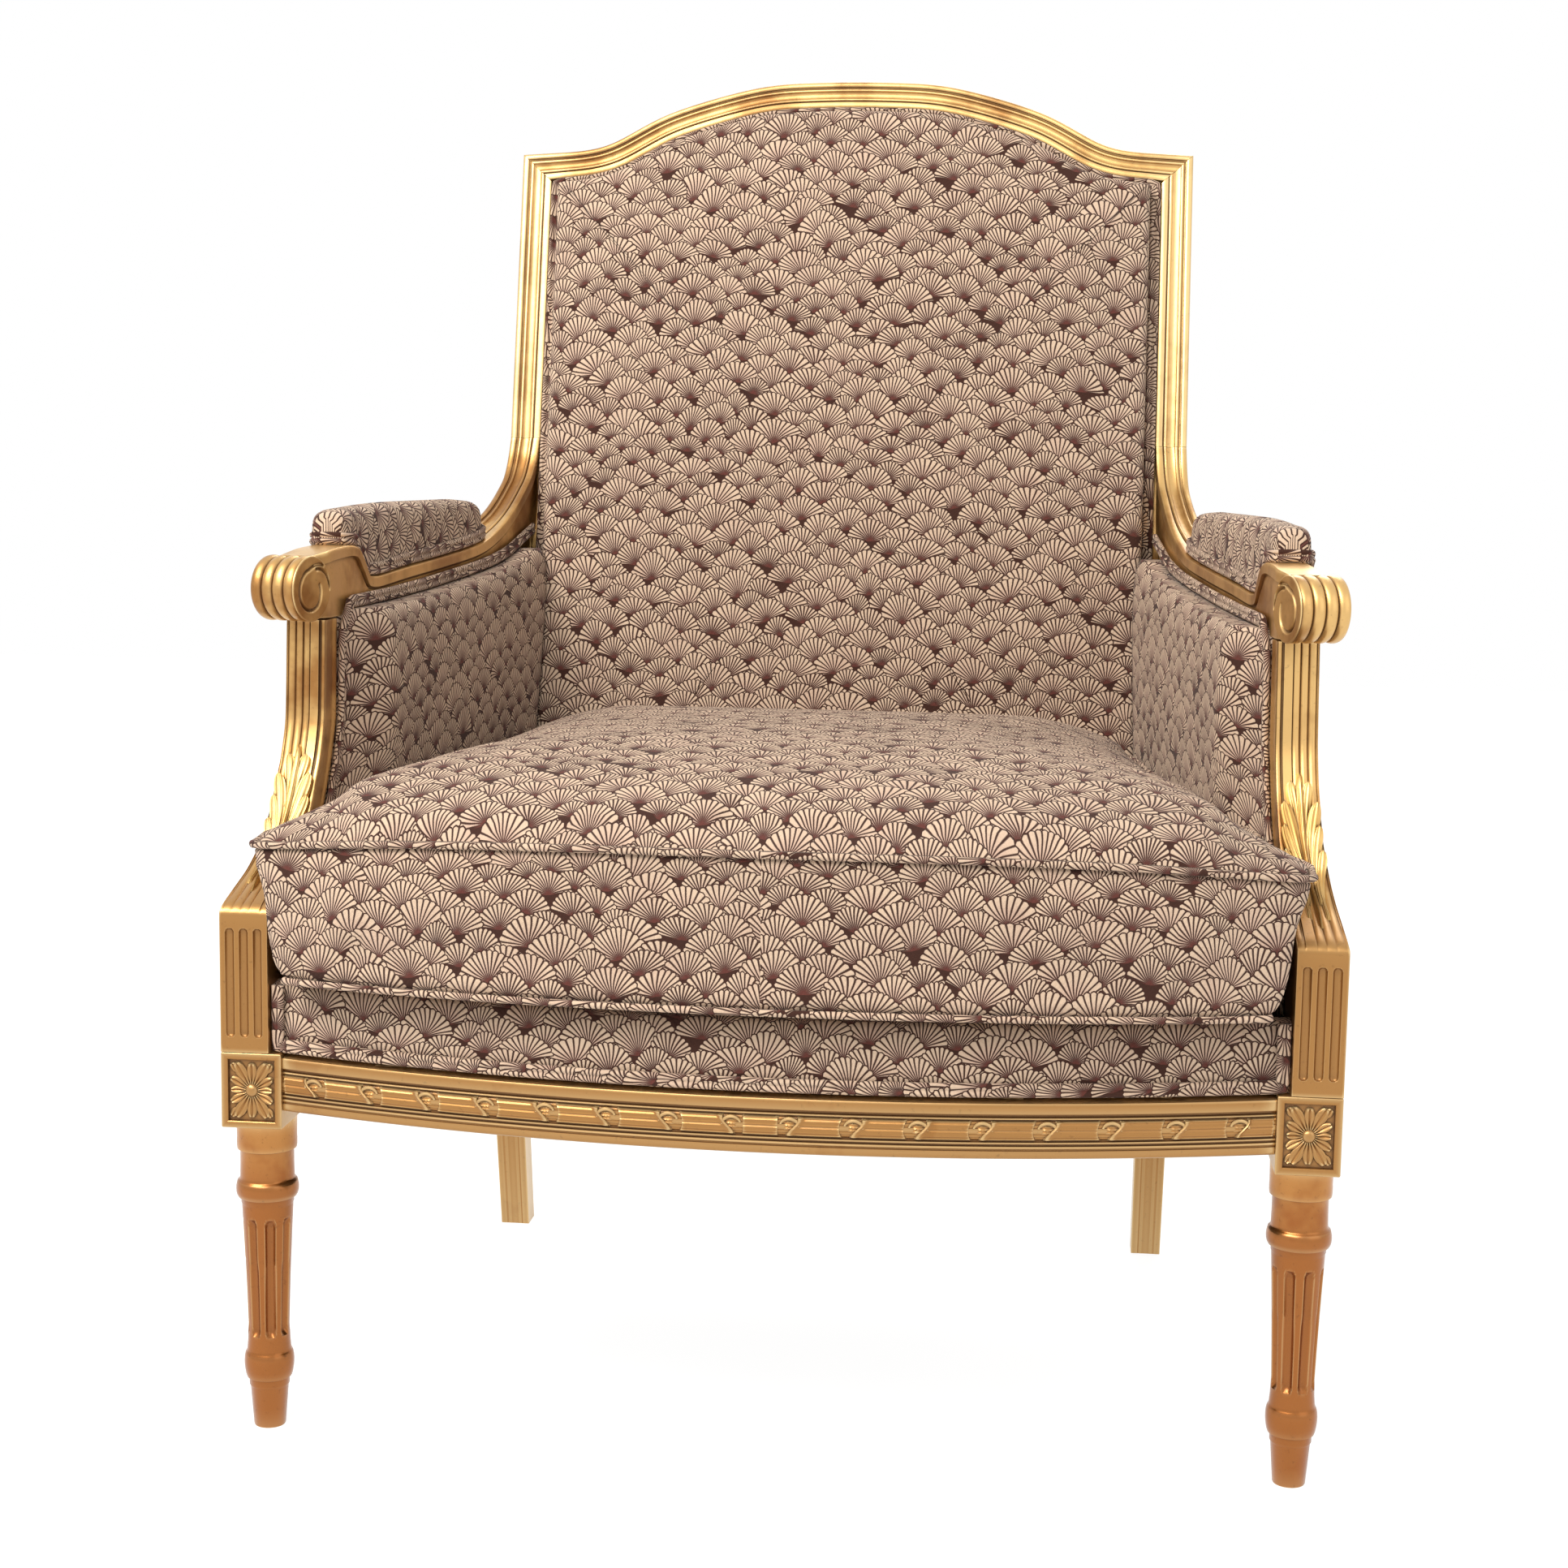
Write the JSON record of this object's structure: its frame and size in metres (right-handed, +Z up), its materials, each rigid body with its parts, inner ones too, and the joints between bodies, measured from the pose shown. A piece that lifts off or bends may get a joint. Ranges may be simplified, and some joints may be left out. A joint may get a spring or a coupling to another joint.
{
  "type": "upholstered armchair with loose cushion",
  "caption": "Wide gilded armchair with a leaning arched back, closed padded arms on scrolled supports, turned fluted front legs and a loose seat cushion that lifts out.",
  "frame": {"origin": "on the floor, under the middle of the chair's bounding box", "axes": "+Z up; the chair faces -Y, so a sitter looks along -Y; +X runs to the right as seen from the front, and the chair is symmetric about the plane X = 0"},
  "size_m": [0.7984, 0.7546, 1.0679],
  "materials": {
    "gilt": "carved wood with an aged satin gilding",
    "upholstery": "woven fabric with rows of ribbed fans, matt",
    "raw_wood": "plain sawn wood",
    "steel": "plain",
    "jute": "coarse woven jute",
    "black_cloth": "thin matt cloth"
  },
  "bodies": {
    "frame": {"front_leg_right": "gilt", "front_leg_left": "gilt", "front_rail": "gilt", "side_rail_right": "gilt", "side_rail_left": "gilt", "back_rail": "gilt", "front_corner_block_right": "raw_wood", "front_corner_block_left": "raw_wood", "back_corner_block_right": "raw_wood", "back_corner_block_left": "raw_wood", "front_rail_screw_right": "steel", "front_rail_screw_left": "steel", "front_side_screw_right": "steel", "front_side_screw_left": "steel", "back_rail_screw_right": "steel", "back_rail_screw_left": "steel", "back_side_screw_right": "steel", "back_side_screw_left": "steel", "arm_support_right": "gilt", "arm_support_left": "gilt", "arm_right": "gilt", "arm_left": "gilt", "back_stile_right": "gilt", "back_stile_left": "gilt", "crest_rail": "gilt", "lower_back_rail": "raw_wood", "seat_webbing": "jute", "seat_hessian": "jute", "dust_cover": "black_cloth", "back_webbing": "jute", "back_pad": "upholstery", "outside_back": "upholstery", "back_welt": "upholstery", "outside_back_welt": "upholstery", "front_border": "upholstery", "border_welt": "upholstery", "outer_arm_cover_right": "upholstery", "outer_arm_cover_left": "upholstery", "arm_lining_right": "jute", "arm_lining_left": "jute", "inside_arm_right": "upholstery", "inside_arm_left": "upholstery", "inside_arm_welt_right": "upholstery", "inside_arm_welt_left": "upholstery", "arm_pad_right": "upholstery", "arm_pad_left": "upholstery", "arm_pad_welt_right": "upholstery", "arm_pad_welt_left": "upholstery", "seat_deck": "upholstery"},
    "cushion": {"seat_cushion": "upholstery", "cushion_piping_top": "upholstery", "cushion_piping_bottom": "upholstery"}
  },
  "joints": [
    {"name": "cushion_lift", "type": "slide", "parent": "frame", "child": "cushion", "axis": [0, 0, 1], "range_m": [0, 0.36]}
  ]
}
